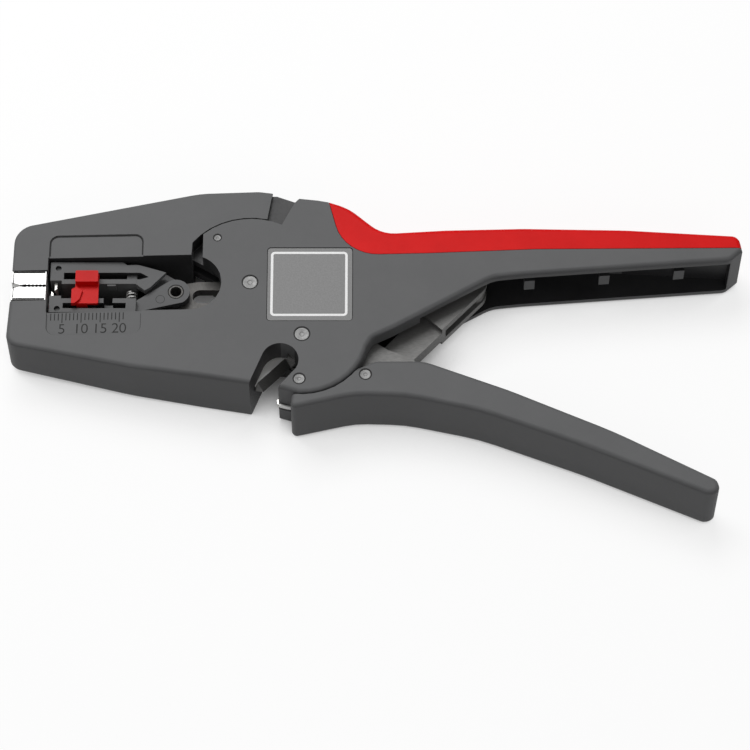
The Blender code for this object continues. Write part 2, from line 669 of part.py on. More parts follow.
def make_clamp(name, sign):
    """The tongue is narrower than the jaw, so its sides are cut back."""
    jaw = slab(name, clamp_outline(sign), MID - JAW_FACE_HALF, MID + JAW_FACE_HALF, "steel")
    shoulder = JAW_PARTING + JAW_FACE_HEIGHT
    far = shoulder + TONGUE_LENGTH + MM
    ends = sorted((sign * shoulder, sign * far))
    side = box_outline(FRONT - MM, ends[0], BLOCK_END + MM, ends[1])
    tongue_half = SLOT_HALF - GAP
    cut(jaw, name + "_near", side, MID + tongue_half, THICKNESS + MM)
    cut(jaw, name + "_far", side, -MM, MID - tongue_half)
    return jaw


def make_counter_blade():
    plate = slab("counter_blade", counter_outline(0), COUNTER_TOP - COUNTER_THICKNESS, COUNTER_TOP, "steel")
    drill(plate, "counter_hole", BLADE_PIN, SMALL_PIN_RADIUS + RUNNING_FIT)
    return plate


def make_fixed():
    make_body()
    make_grip()
    make_plate()
    make_clamp("lower_clamp_jaw", -1)
    make_counter_blade()
    through = (PIN_INSET, THICKNESS - PIN_INSET)
    turned_pin("jaw_pivot_pin", PIVOT, PIVOT_RADIUS, *through)
    turned_pin("handle_pivot_pin", HANDLE_PIVOT, PIVOT_RADIUS, *through)
    turned_pin("counter_blade_pin", BLADE_PIN, SMALL_PIN_RADIUS, *through)
    turned_pin("jaw_stop_pin", STOP_PIN, STOP_PIN_RADIUS, *through, sides=24)


# Upper jaw

JAW_HEEL = mm(5.7, 27.6)


def jaw_outline():
    arc_edge = arc(PIVOT, PARTING_ARC, 142, 77.3)
    roof = WINDOW_HALF + 0.2 * MM
    bottom = [(FRONT, SEAT), (BLOCK_END, SEAT), (BLOCK_END, roof), (-15.7 * MM, roof)]
    top = [JAW_HEEL, mm(2.0, 28.1, 6), mm(-14.0, 27.5, 30), (FRONT + 0.2 * MM, 17.9 * MM, 5.7 * MM)]
    return rounded(bottom + arc_edge + top)


def leg_outline():
    """Leg that carries the jaw on its pivot pin, inside the body's cheeks."""
    hub = arc(PIVOT, 5.0 * MM, 150, 375)
    lower = [mm(-24.0, 9.8), mm(-15.7, 9.8, 3), mm(-8.0, 5.2, 3)]
    upper = [mm(5.4, 9.0, 6)] + arc(PIVOT, RIM - 0.5 * MM, 74, 112) + [polar(PIVOT, 23 * MM, 112), mm(-24.0, 18.0)]
    return rounded(lower + hub + upper)


def make_upper_jaw():
    soft_run = (JAW_HEEL, (FRONT, SEAT))
    jaw = slab("upper_jaw", jaw_outline(), 0, THICKNESS, "moulding", [soft_run], 0.8 * MM, 2)
    rear = [polar(PIVOT, 19.0 * MM, 110), polar(PIVOT, 34.0 * MM, 110), polar(PIVOT, 34.0 * MM, 60),
            polar(PIVOT, 19.0 * MM, 60)]
    cut(jaw, "rear_cheeks", rear, RECESS_DEPTH - GAP, THICKNESS - RECESS_DEPTH + GAP)
    left, right = ARM_FRONT + 1.6 * MM, ARM_BACK - 1.7 * MM
    channel = rounded([(left, 5.0 * MM), (right, 5.0 * MM), (right, 20.4 * MM, 1.5 * MM),
                       (left, 15.8 * MM, 1.5 * MM)])
    cut(jaw, "jaw_channel", channel, MID - SLOT_HALF, MID + SLOT_HALF)
    cut(jaw, "upper_tongue", tongue(1, GAP), MID - SLOT_HALF, MID + SLOT_HALF)
    cut(jaw, "size_panel", box_outline(BLOCK_END + 0.2 * MM, WINDOW_HALF - 3 * MM, PANEL_END,
                                       WINDOW_HALF + PANEL_HEIGHT, 2.4 * MM),
        THICKNESS - PANEL_DEPTH, THICKNESS + MM)
    for label, side in (("near_leg", 1), ("far_leg", -1)):
        cutter(jaw, leaf("add_" + label, leg_outline(), LEG_INNER, LEAF_OUTER, side), "UNION")
    drill(jaw, "jaw_bore", PIVOT, PIVOT_RADIUS + RUNNING_FIT)
    width = STOP_PIN_RADIUS + 0.1 * MM
    end = math.degrees(width / STOP_PIN_ORBIT)
    low, high = STOP_PIN_ANGLE - end, STOP_PIN_ANGLE + JAW_OPENING + end + 0.4
    slot = arc(PIVOT, STOP_PIN_ORBIT + width, low, high) + arc(PIVOT, STOP_PIN_ORBIT - width, high, low)
    cut(jaw, "stop_slot", slot, MID - SLOT_HALF, MID + SLOT_HALF)
    thin_nose(jaw)
    smooth(jaw)
    return jaw


# Moving handle

LEVER_FRONT = -98               # degrees round the handle pivot, front end of the moving handle


def shell_outline():
    front = arc(HANDLE_PIVOT, LEVER_EDGE, -33, LEVER_FRONT)
    bottom = [(*LEVER_BOTTOM[0], 1.8 * MM)] + LEVER_BOTTOM[1:-1]
    tip = [(*LEVER_TIP, 3.0 * MM), (LEVER_REACH, -LEVER_DROP + 1.4 * MM, 1.9 * MM), (*TIP_TOP, 2.4 * MM)]
    return rounded(bottom + tip + LEVER_TOP[-2::-1] + front[1:])


def make_handle_shell():
    shell = slab("handle_shell", shell_outline(), HANDLE_INSET, THICKNESS - HANDLE_INSET, "moulding",
                 [(polar(HANDLE_PIVOT, LEVER_EDGE, LEVER_FRONT), LEVER_TOP[0])], FACE_EDGE)
    start, end = 24.6 * MM, LEVER_REACH - END_WALL - MM
    floor = between(offset(LEVER_BOTTOM, CHANNEL_FLOOR), start, end)
    channel = floor + [(end, -10 * MM), (start, -10 * MM)]
    cut(shell, "handle_channel", channel, MID - SLOT_HALF, MID + SLOT_HALF)
    places = rib_places(LEVER_REACH - CROSS_RIB_END, CROSS_RIB_PITCH, CROSS_RIB_START)
    for number, x in enumerate(places, 1):
        base = between(LEVER_BOTTOM, x, x + RIB)
        crest = between(LEVER_TOP, x, x + RIB)
        web = [(px, py + MM) for px, py in base] + [(px, py - 2.5 * MM) for px, py in crest[::-1]]
        join(shell, "cross_rib_%d" % number, web, MID - SLOT_HALF - MM, MID + SLOT_HALF + MM)
    drill(shell, "handle_bore", LINK_PIVOT, SMALL_PIN_RADIUS + RUNNING_FIT)
    smooth(shell)
    return shell


def lever_outline():
    hub = arc(HANDLE_PIVOT, HUB_RADIUS, 80, 285)
    lower = [mm(28.4, -31.4, 2), mm(40.0, -31.2, 10), mm(52.5, -32.4, 14), mm(68.0, -37.9, 1.5)]
    upper = [mm(69.4, -34.8, 1.5), mm(54.0, -28.4, 14), mm(45.5, -25.0, 3), mm(43.3, -20.3, 2), mm(36.5, -17.6, 6),
             mm(32.4, -14.8, 2), mm(22.0, -12.0, 6)]
    return rounded(hub + lower + upper)


BLADE_RIVET = polar(HANDLE_PIVOT, 3.2 * MM, 135)


def make_lever_plate(name, side):
    plate = leaf(name, lever_outline(), LEVER_INNER, LEAF_OUTER, side, "dark_steel")
    holes = {"_pivot": (HANDLE_PIVOT, PIVOT_RADIUS), "_foot": (LINK_PIVOT, SMALL_PIN_RADIUS),
             "_rivet": (BLADE_RIVET, RIVET_RADIUS)}
    for label, (centre, radius) in holes.items():
        drill(plate, name + label, centre, radius + RUNNING_FIT)
    return plate


def make_cutter_blade():
    """Plate with a chisel bevel along its front edge, which comes nearly radially from the pivot."""
    edge_in, edge_out = mm(10.8, -20.0), mm(3.7, -27.3)
    back = [polar(HANDLE_PIVOT, BLADE_REACH, 223), polar(HANDLE_PIVOT, BLADE_REACH, 208), mm(2.4, -16.0)]
    hub = arc(HANDLE_PIVOT, HUB_RADIUS - 0.4 * MM, 178, 60)
    right = arc(HANDLE_PIVOT, HUB_RADIUS - 0.4 * MM, 40, -110)
    loop = [edge_in, edge_out] + back + hub + right
    blade = slab("cutter_blade", loop[::-1], MID - BLADE_HALF, MID + BLADE_HALF, "steel")
    direction = (edge_out[0] - edge_in[0], edge_out[1] - edge_in[1])
    length = math.hypot(*direction)
    bevel = 2.1 * MM
    shift = (direction[1] / length * bevel, -direction[0] / length * bevel)
    for vert in blade.data.vertices:
        near = vert.co.z > MID
        if near and min(math.dist(vert.co.xy, edge_in), math.dist(vert.co.xy, edge_out)) < 1e-6:
            vert.co.x += shift[0]
            vert.co.y += shift[1]
    drill(blade, "blade_bore", HANDLE_PIVOT, PIVOT_RADIUS + RUNNING_FIT)
    drill(blade, "blade_rivet_hole", BLADE_RIVET, RIVET_RADIUS + RUNNING_FIT)
    return blade


# Link between the handle and the pull rod

def make_link():
    heading = math.radians(LINK_ANGLE)
    outline = arc(LINK_PIVOT, LINK_FOOT, LINK_ANGLE + 90, LINK_ANGLE + 270)
    outline += arc(LINK_HEAD, LINK_EYE, LINK_ANGLE - 90, LINK_ANGLE + 90)
    fork_half = LEAF_OUTER - 0.2 * MM
    link = slab("drive_link", outline, MID - fork_half, MID + fork_half, "dark_steel")

    def across(distance, width):
        """Two points on either side of the link, measured back from its head."""
        x = LINK_HEAD[0] - distance * math.cos(heading)
        y = LINK_HEAD[1] - distance * math.sin(heading)
        dx, dy = -math.sin(heading) * width, math.cos(heading) * width
        return (x + dx, y + dy), (x - dx, y - dy)
    wide = 8 * MM
    shank_start = across(FORK_DEPTH + 1.5 * MM, wide)
    shank_end = across(LINK_LENGTH + wide, wide)
    shank = [shank_start[0], shank_end[0], shank_end[1], shank_start[1]]
    cut(link, "shank_near", shank, MID + LINK_HALF, THICKNESS)
    cut(link, "shank_far", shank, 0, MID - LINK_HALF)
    mouth_start, mouth_end = across(-wide, wide), across(FORK_DEPTH, wide)
    mouth = [mouth_start[0], mouth_end[0], mouth_end[1], mouth_start[1]]
    cut(link, "fork", mouth, MID - ROD_HALF - GAP, MID + ROD_HALF + GAP)
    drill(link, "link_foot", LINK_PIVOT, SMALL_PIN_RADIUS + RUNNING_FIT)
    drill(link, "link_eye", LINK_HEAD, SMALL_PIN_RADIUS + RUNNING_FIT)
    return link


# Knife carriage

def make_rod():
    half = ROD_WIDTH / 2
    lug = (7.5 * MM, 10.5 * MM, 10.8 * MM)
    eye = arc(LINK_HEAD, LINK_EYE - 0.3 * MM, -100, 100)
    left = arc((ARM_PIN_X, 0), 4.0 * MM, 130, 230)
    lower = [mm(-14.0, -4.5, 4), (7.0 * MM, -half, 6 * MM), mm(13.0, -3.2, 6), mm(48.0, -0.9, 20)]
    upper = [mm(50.0, 7.1, 4), (42.0 * MM, ROD_NECK, 4 * MM), (lug[1], ROD_NECK, 0.8 * MM), (lug[1], lug[2], 0.6 * MM),
             (lug[0], lug[2], 0.6 * MM), (lug[0], half), (-14.0 * MM, half, 4 * MM)]
    rod = slab("pull_rod", rounded(left + lower + eye + upper), MID - ROD_HALF, MID + ROD_HALF, "dark_steel")
    slot_radius = PIVOT_RADIUS + 0.08 * MM
    cut(rod, "pivot_slot", stadium((-ROD_SLOT, 0), (0.2 * MM, 0), slot_radius), 0, THICKNESS)
    drill(rod, "arm_pin_hole", (ARM_PIN_X, 0), ARM_PIN_RADIUS + RUNNING_FIT)
    play = 0.7 * MM
    ends = [(LINK_HEAD[0] + play * side, LINK_HEAD[1]) for side in (-1, 1)]
    cut(rod, "eye_slot", stadium(*ends, SMALL_PIN_RADIUS + 0.08 * MM), 0, THICKNESS)
    return rod


KNIFE_X = {"lower": ARM_FRONT + 0.3 * MM, "upper": ARM_FRONT + 1.2 * MM}


def arm_front(name, block, rail, beam, sign):
    """Front of a knife arm: holder block, outer beam, inner rail and the slot between them."""
    outline = [(ARM_FRONT, sign * block), (ARM_FRONT + HOLDER_LENGTH, sign * block),
               (ARM_FRONT + HOLDER_LENGTH, sign * rail), (ARM_BACK, sign * rail),
               (ARM_BACK, sign * beam), (ARM_FRONT, sign * beam)]
    return slab(name, outline[::sign], MID - ARM_HALF, MID + ARM_HALF, "moulding")


def finish_arm(arm, name, rail_outer, slot_outer, tail, inner, outer, sign):
    """Cuts the rail slot, knife seat and key hole, and adds the tail plates that reach the arm pin."""
    ends = sorted((sign * rail_outer, sign * slot_outer))
    cut(arm, name + "_slot", box_outline(RAIL_START, ends[0], RAIL_END, ends[1]), 0, THICKNESS)
    seat_x = KNIFE_X[name] - KNIFE_FIT
    seat = sorted((sign * 1.0 * MM, sign * (6.8 * MM + KNIFE_FIT)))
    cut(arm, name + "_knife_seat", box_outline(seat_x, seat[0], seat_x + KNIFE_THICKNESS + 2 * KNIFE_FIT, seat[1]),
        MID - KNIFE_HALF - KNIFE_FIT, MID + KNIFE_HALF + KNIFE_FIT)
    hole = (ARM_FRONT + 2.1 * MM, sign * 6.1 * MM)
    cut(arm, name + "_key_hole", circle(hole, 0.8 * MM, 16), MID + KNIFE_HALF + 0.4 * MM, THICKNESS)
    for label, side in (("near", 1), ("far", -1)):
        cutter(arm, leaf("add_%s_%s_tail" % (name, label), tail, inner, outer, side), "UNION")
    drill(arm, name + "_pin_hole", (ARM_PIN_X, 0), ARM_PIN_RADIUS + RUNNING_FIT)
    smooth(arm)


def make_lower_arm():
    arm = arm_front("lower_knife_arm", 2.2 * MM, 3.0 * MM, 7.2 * MM, -1)
    boss = arc((ARM_PIN_X, 0), ARM_BOSS, -60, 125)
    tail = [mm(-33.0, -6.8)] + boss + [mm(-30.6, -2.9, 2), mm(-33.0, -3.2)]
    finish_arm(arm, "lower", 4.4 * MM, 6.0 * MM, rounded(tail), TAIL_OUTER + GAP, LEAF_OUTER, -1)
    break_start = ARM_BACK - 8.6 * MM
    cut(arm, "rail_break", box_outline(break_start, -4.7 * MM, break_start + 2.4 * MM, -2.7 * MM),
        MID + 2 * MM, THICKNESS)
    return arm


def make_upper_arm():
    arm = arm_front("upper_knife_arm", 2.4 * MM, 1.4 * MM, 8.0 * MM, 1)
    boss = arc((ARM_PIN_X, 0), ARM_BOSS - 0.1 * MM, 235, 420)
    tail = [mm(-33.0, 2.0), mm(-29.8, 1.6)] + boss + [mm(-22.6, 6.0, 1), mm(-28.5, 5.6, 2), mm(-33.0, 7.6)]
    finish_arm(arm, "upper", 2.8 * MM, 4.8 * MM, rounded(tail), LEG_INNER, TAIL_OUTER, 1)
    return arm


def make_knife(name, sign):
    """Thin plate across the tool with a V notch for the wire, standing in its holder block."""
    root = 6.8 * MM
    point = KNIFE_REACH
    loop = [(-KNIFE_HALF, root), (-KNIFE_HALF, point), (-KNIFE_HALF + 1.2 * MM, point), (0, point + KNIFE_NOTCH),
            (KNIFE_HALF - 1.2 * MM, point), (KNIFE_HALF, point), (KNIFE_HALF, root)]
    bm = bmesh.new()
    x = KNIFE_X[name]
    face = bm.faces.new([bm.verts.new((x, sign * y, MID + z)) for z, y in loop])
    grown = bmesh.ops.extrude_face_region(bm, geom=[face])
    lifted = [item for item in grown["geom"] if isinstance(item, bmesh.types.BMVert)]
    bmesh.ops.translate(bm, verts=lifted, vec=(KNIFE_THICKNESS, 0, 0))
    knife = new_object(name + "_knife", bm, "steel")
    grind = [vert for vert in knife.data.vertices
             if abs(vert.co.y) < 2.0 * MM and vert.co.x > x + KNIFE_THICKNESS / 2]
    for vert in grind:
        vert.co.y += sign * 0.5 * MM
    return knife


def make_arm_spring():
    low, high = -3.0 * MM + 0.15 * MM, 1.4 * MM - ARM_SPRING_PLAY
    centre = (ARM_BACK - 1.5 * MM, low, MID + 2.4 * MM)
    return coil_spring("arm_spring", centre, "Y", high - low, ARM_SPRING_RADIUS, ARM_SPRING_WIRE, ARM_SPRING_TURNS)


def make_return_spring():
    start = 10.5 * MM + 0.15 * MM
    centre = (start, ROD_NECK + SPRING_RADIUS + 0.35 * MM, MID)
    return coil_spring("return_spring", centre, "X", SPRING_END - 0.15 * MM - start, SPRING_RADIUS, SPRING_WIRE,
                       SPRING_TURNS)


def make_stop():
    """Red slide: a plate over the rail, a thumb pad, the stop face and a leg through the rail slot."""
    left, right = STOP_START, STOP_START + STOP_WIDTH
    base = MID + ARM_HALF + GAP
    plate_top = base + 0.9 * MM
    plate = rounded([(left, -5.2 * MM, 0.4 * MM), (right, -5.2 * MM, 0.4 * MM), (right, 3.8 * MM, 0.4 * MM),
                     (left, 3.8 * MM, 0.4 * MM)])
    stop = slab("length_stop", plate, base, plate_top, "soft_red")
    pad = box_outline(left + 0.1 * MM, 0.3 * MM, right - 0.1 * MM, 3.7 * MM, 0.3 * MM)
    join(stop, "thumb_pad", pad, base + 0.2 * MM, THICKNESS - 0.3 * MM)
    face = box_outline(left + 0.3 * MM, -3.0 * MM + GAP, left + 0.3 * MM + STOP_LEG, 0.1 * MM)
    join(stop, "stop_face", face, MID - 2.5 * MM, base + 0.3 * MM)
    leg = box_outline(left + 0.4 * MM, -5.3 * MM, left + 0.4 * MM + STOP_LEG, -4.4 * MM - GAP)
    join(stop, "stop_leg", leg, MID, base + 0.3 * MM)
    pointer = [(left - 0.9 * MM, -5.5 * MM), (left + 0.1 * MM, -5.5 * MM), (left + 1.3 * MM, -4.2 * MM),
               (left + 2.0 * MM, -1.6 * MM), (left + 0.2 * MM, -0.7 * MM), (left - 0.9 * MM, -1.3 * MM)]
    join(stop, "pointer", pointer, base + 0.2 * MM, plate_top + 0.8 * MM)
    return stop


def make_moving():
    jaw = make_upper_jaw()
    carry(pivot("jaw_hinge", PIVOT), jaw, make_clamp("upper_clamp_jaw", 1))
    handle = pivot("handle_hinge", HANDLE_PIVOT)
    inside = (MID - LEAF_OUTER, MID + LEAF_OUTER)
    carry(handle, make_handle_shell(), make_lever_plate("near_lever_plate", 1),
          make_lever_plate("far_lever_plate", -1), make_cutter_blade(),
          turned_pin("link_foot_pin", LINK_PIVOT, SMALL_PIN_RADIUS, HANDLE_INSET + PIN_INSET,
                     THICKNESS - HANDLE_INSET - PIN_INSET),
          turned_pin("blade_rivet", BLADE_RIVET, RIVET_RADIUS, *inside, sides=20))
    carry(pivot("link_hinge", LINK_PIVOT), make_link(),
          turned_pin("link_head_pin", LINK_HEAD, SMALL_PIN_RADIUS, MID - LEAF_OUTER + 0.2 * MM,
                     MID + LEAF_OUTER - 0.2 * MM))
    carriage = pivot("carriage_slide", (ARM_PIN_X, 0))
    carry(carriage, make_rod(), make_lower_arm(), make_knife("lower", -1), make_arm_spring(),
          turned_pin("arm_pin", (ARM_PIN_X, 0), ARM_PIN_RADIUS, *inside, bore=ARM_PIN_BORE))
    carry(pivot("arm_hinge", (ARM_PIN_X, 0)), make_upper_arm(), make_knife("upper", 1))
    carry(pivot("stop_slide", (STOP_START, 0)), make_stop())
    make_return_spring()


def centre_on_footprint(*outlines):
    """Puts the middle of the footprint of the whole tool on the world's zero."""
    xs = [point[0] for outline in outlines for point in outline]
    ys = [point[1] for outline in outlines for point in outline]
    TOOL.location = (-(min(xs) + max(xs)) / 2, -(min(ys) + max(ys)) / 2, 0)


for old in list(bpy.data.objects):
    bpy.data.objects.remove(old, do_unlink=True)

TOOL = bpy.data.objects.new("tool", None)
bpy.context.collection.objects.link(TOOL)

make_fixed()
make_moving()
centre_on_footprint(body_outline(), jaw_outline(), shell_outline())
bpy.context.view_layer.update()
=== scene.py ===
import json
import math

import bpy
from mathutils import Matrix, Vector


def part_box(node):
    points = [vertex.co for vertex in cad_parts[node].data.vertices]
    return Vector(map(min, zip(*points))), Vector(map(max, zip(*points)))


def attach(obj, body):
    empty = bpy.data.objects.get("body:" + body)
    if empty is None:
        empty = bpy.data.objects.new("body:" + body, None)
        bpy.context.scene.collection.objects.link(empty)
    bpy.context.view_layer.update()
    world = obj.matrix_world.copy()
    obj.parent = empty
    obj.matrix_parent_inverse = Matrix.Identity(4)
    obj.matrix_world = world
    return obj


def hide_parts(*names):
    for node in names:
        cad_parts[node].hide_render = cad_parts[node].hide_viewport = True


mm = 0.001


# Helpers for modelling

def deselectAll():
    if bpy.context.mode != "OBJECT":
        bpy.ops.object.mode_set(mode="OBJECT")
    bpy.ops.object.select_all(action="DESELECT")


def activate(*objects):
    deselectAll()
    for obj in objects:
        obj.select_set(True)
    bpy.context.view_layer.objects.active = objects[0]


def applyPlace(obj):
    activate(obj)
    bpy.ops.object.transform_apply(location=True, rotation=True, scale=True)


def applyModifier(obj, kind, **settings):
    activate(obj)
    modifier = obj.modifiers.new(kind.title(), kind)
    for key, value in settings.items():
        setattr(modifier, key, value)
    bpy.ops.object.modifier_apply(modifier=modifier.name)


def smoothSides(obj, degrees=30):
    activate(obj)
    bpy.ops.object.shade_smooth_by_angle(angle=math.radians(degrees))


def paint(obj, material):
    obj.data.materials.clear()
    obj.data.materials.append(material)


def joinAll(name, objects):
    activate(*objects)
    bpy.ops.object.join()
    joined = bpy.context.view_layer.objects.active
    joined.name = name
    return joined


def finishPiece(obj, body, material, slot, *nodes):
    paint(obj, material)
    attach(obj, body)
    if nodes:
        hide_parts(*nodes)
    return obj


# A socket that takes part in sums, so that a pattern reads as an expression

class Value:
    def __init__(self, shader, socket):
        self.shader = shader
        self.socket = socket

    def maths(self, operation, other):
        return self.shader.node("Math", {"operation": operation}, {0: self, 1: other})

    def __add__(self, other):
        return self.maths("ADD", other)

    def __mul__(self, other):
        return self.maths("MULTIPLY", other)

    __radd__ = __add__
    __rmul__ = __mul__


class Shader:
    def __init__(self, name, **fixed):
        self.material = bpy.data.materials.new(name)
        self.material.use_nodes = True
        self.tree = self.material.node_tree
        self.surface = self.tree.nodes["Principled BSDF"]
        for key, value in fixed.items():
            self.surface.inputs[key.replace("_", " ")].default_value = value

    def node(self, kind, settings=None, inputs=None, output=0):
        made = self.tree.nodes.new("ShaderNode" + kind)
        for key, value in (settings or {}).items():
            setattr(made, key, value)
        for key, value in (inputs or {}).items():
            if isinstance(value, Value):
                self.tree.links.new(value.socket, made.inputs[key])
            else:
                made.inputs[key].default_value = value
        return Value(self, made.outputs[output])

    def place(self):
        return self.node("TexCoord", output="Object")

    def noise(self, scale, detail=3.0, stretch=(1, 1, 1), rough=0.55):
        mapped = self.node("Mapping", inputs={"Vector": self.place(), "Scale": stretch})
        return self.node("TexNoise", inputs={"Vector": mapped, "Scale": scale, "Detail": detail,
                                             "Roughness": rough})

    def mix(self, factor, low, high):
        return self.node("Mix", {"data_type": "RGBA"}, {0: factor, 6: low, 7: high}, output=2)

    def span(self, factor, low, high, start=0.35, end=0.65):
        return self.node("MapRange", None, {0: factor, 1: start, 2: end, 3: low, 4: high})

    def link(self, name, value):
        self.tree.links.new(value.socket, self.surface.inputs[name])

    def bump(self, height, distance):
        bumped = self.node("Bump", inputs={"Height": height, "Distance": distance, "Strength": 1.0})
        self.link("Normal", bumped)


def grey(level):
    return (level, level, level, 1.0)


# Materials

mouldingLook = {"colour": (0.092, 0.093, 0.095, 1.0), "light": (0.112, 0.113, 0.115, 1.0),
                "rough": (0.52, 0.64), "grain": 5200.0, "grainDepth": 0.012 * mm}


def makeMoulding(name, look):
    shader = Shader(name, Specular_IOR_Level=0.3)
    cloudy = shader.noise(90.0, 4.0)
    grain = shader.noise(look["grain"], 2.0)
    patches = shader.span(cloudy * 0.75 + grain * 0.25, 0.0, 1.0)
    shader.link("Base Color", shader.mix(patches, look["colour"], look["light"]))
    shader.link("Roughness", shader.span(grain * 0.6 + cloudy * 0.4, *look["rough"]))
    shader.bump(grain + shader.noise(1400.0, 2.0) * 0.8, look["grainDepth"])
    return shader.material


# Near-black moulding: painted shade for faces inside recesses and channels
paintedShadeLook = {"colour": (0.016, 0.016, 0.017, 1.0), "light": (0.026, 0.026, 0.027, 1.0),
             "rough": (0.42, 0.55), "grain": 2600.0, "grainDepth": 0.004 * mm}
softRedLook = {"colour": (0.72, 0.004, 0.004, 1.0), "deep": (0.66, 0.002, 0.002, 1.0),
               "rough": (0.42, 0.54), "grainDepth": 0.008 * mm}
slideRedLook = {"colour": (0.62, 0.003, 0.003, 1.0), "deep": (0.55, 0.002, 0.002, 1.0),
                "rough": (0.36, 0.46), "grainDepth": 0.004 * mm}


def makeRed(name, look):
    shader = Shader(name, Specular_IOR_Level=0.12)
    cloudy = shader.noise(120.0, 3.0)
    grain = shader.noise(4200.0, 2.0)
    shader.link("Base Color", shader.mix(shader.span(cloudy, 0.0, 1.0), look["deep"], look["colour"]))
    shader.link("Roughness", shader.span(grain, *look["rough"]))
    shader.bump(grain, look["grainDepth"])
    return shader.material


jawSteelLook = {"colour": (0.78, 0.78, 0.77, 1.0), "dull": (0.70, 0.70, 0.69, 1.0), "metallic": 0.25,
                "rough": (0.30, 0.42), "lines": (40.0, 1.0, 1.0)}
bladeSteelLook = {"colour": (0.62, 0.61, 0.58, 1.0), "dull": (0.44, 0.43, 0.41, 1.0), "metallic": 0.45,
                  "rough": (0.24, 0.42), "lines": (1.0, 50.0, 1.0)}
# Near-white steel: painted light on the cutter blade's near face
paintedLitBladeLook = {"colour": (0.95, 0.94, 0.92, 1.0), "dull": (0.74, 0.73, 0.71, 1.0), "metallic": 0.15,
                   "rough": (0.24, 0.40), "lines": (1.0, 50.0, 1.0)}
pinSteelLook = {"colour": (0.20, 0.20, 0.198, 1.0), "dull": (0.14, 0.14, 0.14, 1.0), "metallic": 0.35,
                "rough": (0.40, 0.52), "lines": (1.0, 1.0, 30.0)}
darkSteelLook = {"colour": (0.125, 0.124, 0.120, 1.0), "dull": (0.085, 0.084, 0.082, 1.0), "metallic": 0.3,
                 "rough": (0.42, 0.56), "lines": (1.0, 8.0, 1.0)}
rodSteelLook = {"colour": (0.060, 0.057, 0.052, 1.0), "dull": (0.036, 0.034, 0.032, 1.0), "metallic": 0.3,
                "rough": (0.40, 0.54), "lines": (8.0, 1.0, 1.0)}
springLook = {"colour": (0.72, 0.72, 0.71, 1.0), "dull": (0.55, 0.55, 0.54, 1.0), "metallic": 0.5,
              "rough": (0.20, 0.32), "lines": (1.0, 1.0, 1.0)}


def makeSteel(name, look):
    shader = Shader(name, Metallic=look["metallic"])
    lines = shader.noise(900.0, 4.0, look["lines"])
    cloudy = shader.noise(160.0, 3.0)
    worn = shader.span(lines * 0.6 + cloudy * 0.4, 0.0, 1.0)
    shader.link("Base Color", shader.mix(worn, look["dull"], look["colour"]))
    shader.link("Roughness", shader.span(lines, look["rough"][1], look["rough"][0], 0.3, 0.7))
    shader.bump(lines, 0.003 * mm)
    return shader.material


printLook = {"white": (0.88, 0.94), "dark": (0.010, 0.022), "plate": (0.20, 0.235)}


def makePrint(name, levels, roughness=0.5):
    shader = Shader(name, Roughness=roughness, Specular_IOR_Level=0.25)
    speckle = shader.noise(2600.0, 3.0)
    shader.link("Base Color", shader.mix(shader.span(speckle, 0.0, 1.0), grey(levels[0]), grey(levels[1])))
    shader.bump(speckle, 0.004 * mm)
    return shader.material


# Stage, light and camera

stageLook = {"floor": grey(0.22), "seenFloor": grey(0.92), "shown": 0.72, "fill": 0.24, "backdrop": 1.0,
             "glow": 1.07, "reach": 22.0 * mm, "under": 0.1, "clear": 0.6}
lampLook = {"keyLight": {"place": (-0.30, 0.55, 1.10), "size": (0.9, 0.6), "power": 11.0},
            "frontLight": {"place": (0.35, -0.9, 0.75), "size": (0.8, 0.5), "power": 1.2}}
photoCamera = {"target": (-0.32 * mm, -5.65 * mm, 9.0 * mm), "elevation": 62.0, "distance": 925.0 * mm,
               "lens": 168.0, "sensor": 36.0, "clip": 0.01}


def makeStage():
    deselectAll()
    bpy.ops.mesh.primitive_plane_add(size=6.0, location=(0.0, 0.0, -0.02 * mm))
    floor = bpy.context.active_object
    floor.name = "studioFloor"
    shader = Shader("paleFloor", Roughness=0.6, Specular_IOR_Level=0.0)
    seen = shader.node("LightPath", output="Is Camera Ray")
    for ray in ("Is Glossy Ray", "Is Transmission Ray"):
        seen = seen + shader.node("LightPath", output=ray)
    seen = seen.maths("MINIMUM", 1.0)
    glow = shader.node("Emission", None, {"Color": grey(1.0), "Strength": stageLook["glow"]})
    surface = Value(shader, shader.surface.outputs[0])
    shader.link("Base Color", shader.mix(seen, stageLook["floor"], stageLook["seenFloor"]))
    paintedShadeAO = shader.node("AmbientOcclusion", {"samples": 8}, {"Distance": stageLook["reach"]},
                            output="AO")  # the floor's glow fades near and under the tool by ambient occlusion: painted shade there, which also lets the real shadow show
    glowShare = shader.span(paintedShadeAO, 0.0, stageLook["shown"], stageLook["under"], stageLook["clear"])
    shown = shader.node("MixShader", None, {0: seen * glowShare, 1: surface, 2: glow})
    output = shader.tree.nodes["Material Output"]
    shader.tree.links.new(shown.socket, output.inputs["Surface"])
    paint(floor, shader.material)


def makeWorld():
    world = bpy.data.worlds.new("studioWorld")
    bpy.context.scene.world = world
    world.use_nodes = True
    tree = world.node_tree
    light = tree.nodes["Background"]
    light.inputs["Color"].default_value = grey(1.0)
    light.inputs["Strength"].default_value = stageLook["fill"]
    backdrop = tree.nodes.new("ShaderNodeBackground")
    backdrop.inputs["Color"].default_value = grey(1.0)
    backdrop.inputs["Strength"].default_value = stageLook["backdrop"]
    path = tree.nodes.new("ShaderNodeLightPath")
    seen = path.outputs["Is Camera Ray"]
    for name in ("Is Glossy Ray", "Is Transmission Ray"):
        either = tree.nodes.new("ShaderNodeMath")
        either.operation = "MAXIMUM"
        tree.links.new(seen, either.inputs[0])
        tree.links.new(path.outputs[name], either.inputs[1])
        seen = either.outputs[0]
    mixed = tree.nodes.new("ShaderNodeMixShader")
    tree.links.new(seen, mixed.inputs[0])
    tree.links.new(light.outputs[0], mixed.inputs[1])
    tree.links.new(backdrop.outputs[0], mixed.inputs[2])
    tree.links.new(mixed.outputs[0], tree.nodes["World Output"].inputs["Surface"])


